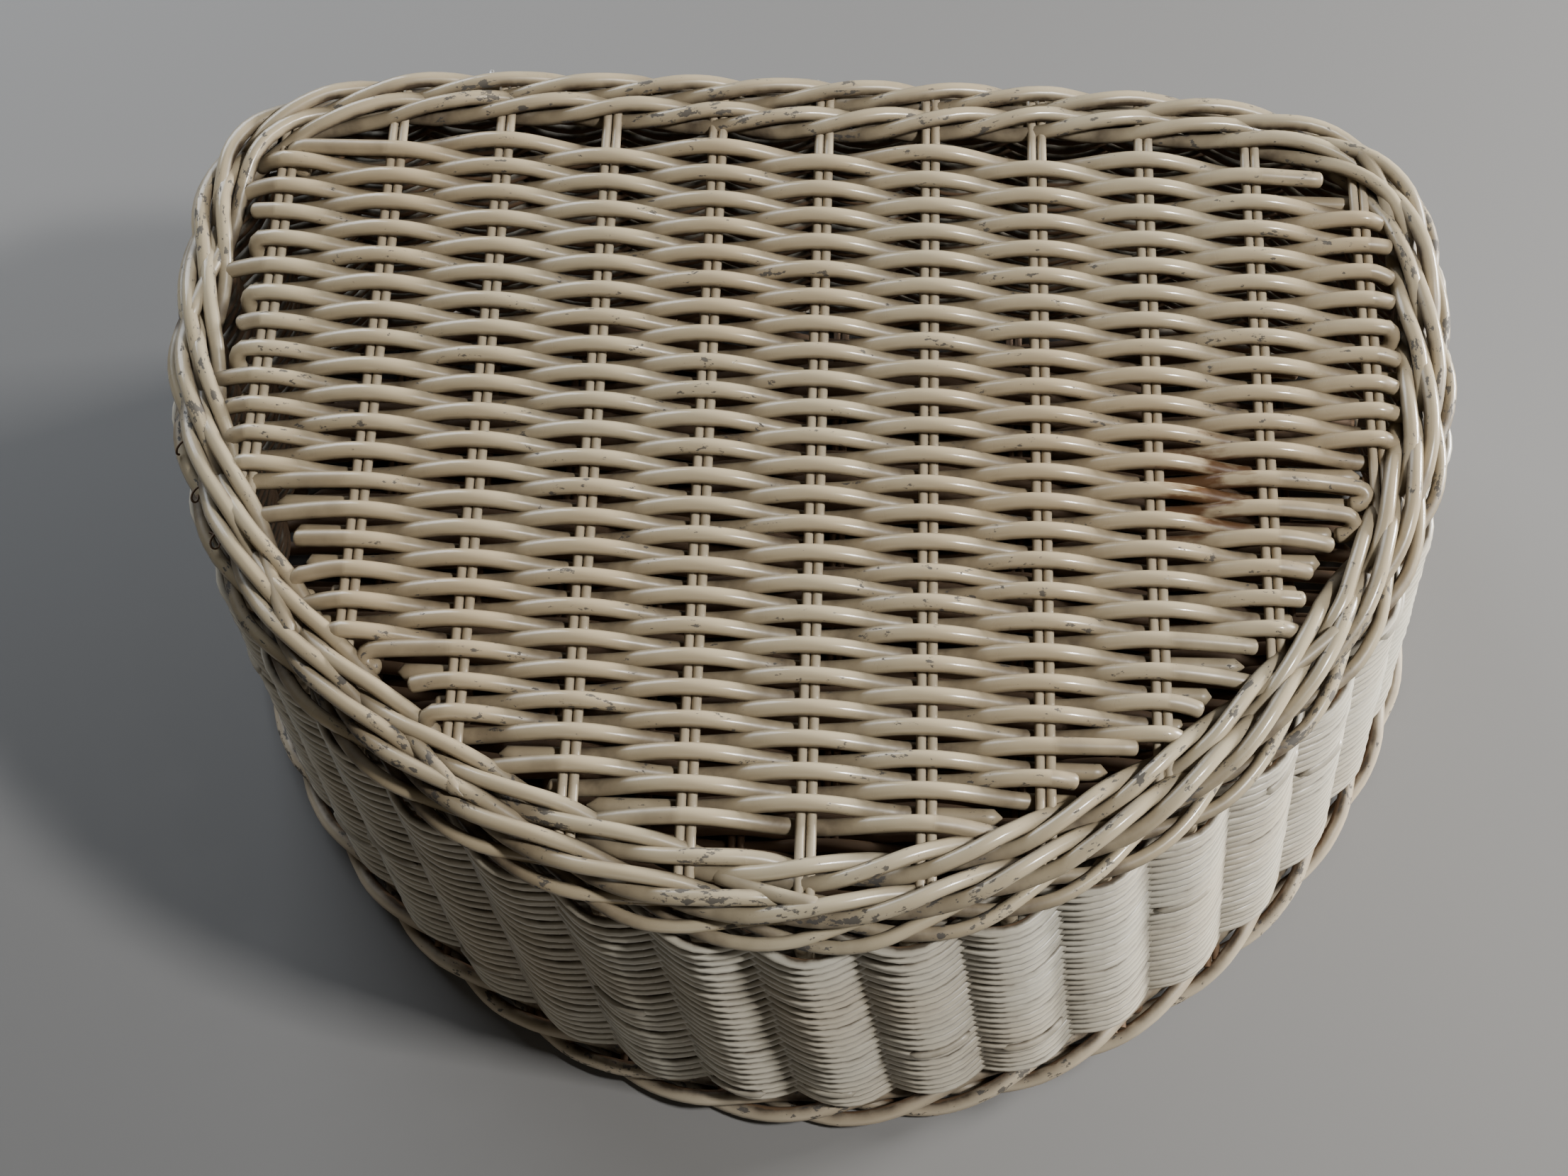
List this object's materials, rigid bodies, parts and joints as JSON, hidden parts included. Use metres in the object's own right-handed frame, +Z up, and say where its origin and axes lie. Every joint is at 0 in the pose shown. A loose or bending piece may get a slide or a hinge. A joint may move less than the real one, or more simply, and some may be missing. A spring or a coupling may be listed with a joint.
{
  "type": "laundry hamper",
  "caption": "Half-moon woven wicker hamper with a flat woven lid that hinges up along its straight back edge on wire loops.",
  "frame": {"origin": "on the floor, under the middle of the hamper's overall box", "axes": "+Z up; the straight back with the hinge line faces +Y, the round front faces -Y, and the width runs along X"},
  "size_m": [0.538, 0.401, 0.238],
  "materials": {
    "painted_weavers": "thick cane weavers sprayed with cream paint, satin, worn at the high spots",
    "painted_sticks": "thin round sticks sprayed with cream paint, satin gloss",
    "painted_wall_rods": "thin closely packed rods under a heavy coat of cream paint, semi-gloss",
    "painted_border_rods": "border rods sprayed cream, chipped to grey and brown on the ridges",
    "painted_stakes": "upright rods sprayed with cream paint, satin",
    "zinc_wire": "dull galvanised wire"
  },
  "bodies": {
    "hamper": {"foot_border": "painted_border_rods", "base_weave": "painted_weavers", "wall_weave": "painted_wall_rods", "rim_border": "painted_border_rods", "stake_01": "painted_stakes", "stake_02": "painted_stakes", "stake_03": "painted_stakes", "stake_04": "painted_stakes", "stake_05": "painted_stakes", "stake_06": "painted_stakes", "stake_07": "painted_stakes", "stake_08": "painted_stakes", "stake_09": "painted_stakes", "stake_10": "painted_stakes", "stake_11": "painted_stakes", "stake_12": "painted_stakes", "stake_13": "painted_stakes", "stake_14": "painted_stakes", "stake_15": "painted_stakes", "stake_16": "painted_stakes", "stake_17": "painted_stakes", "stake_18": "painted_stakes", "stake_19": "painted_stakes", "stake_20": "painted_stakes", "stake_21": "painted_stakes", "stake_22": "painted_stakes", "stake_23": "painted_stakes", "stake_24": "painted_stakes", "stake_25": "painted_stakes", "stake_26": "painted_stakes", "stake_27": "painted_stakes", "stake_28": "painted_stakes", "stake_29": "painted_stakes", "stake_30": "painted_stakes", "stake_31": "painted_stakes", "stake_32": "painted_stakes", "stake_33": "painted_stakes", "stake_34": "painted_stakes", "stake_35": "painted_stakes", "stake_36": "painted_stakes", "stake_37": "painted_stakes", "hinge_loop_left": "zinc_wire", "hinge_loop_middle": "zinc_wire", "hinge_loop_right": "zinc_wire"},
    "lid": {"lid_border": "painted_border_rods", "lid_weave": "painted_weavers", "lid_stick_pair_01": "painted_sticks", "lid_stick_pair_02": "painted_sticks", "lid_stick_pair_03": "painted_sticks", "lid_stick_pair_04": "painted_sticks", "lid_stick_pair_05": "painted_sticks", "lid_stick_pair_06": "painted_sticks", "lid_stick_pair_07": "painted_sticks", "lid_stick_pair_08": "painted_sticks", "lid_stick_pair_09": "painted_sticks", "lid_stick_pair_10": "painted_sticks", "lid_stick_pair_11": "painted_sticks"}
  },
  "joints": [
    {"name": "lid_hinge", "type": "hinge", "parent": "hamper", "child": "lid", "pos_m": [-0.01449, 0.1715, 0.2229], "axis": [-1, 0, 0], "range_deg": [0, 100]}
  ]
}
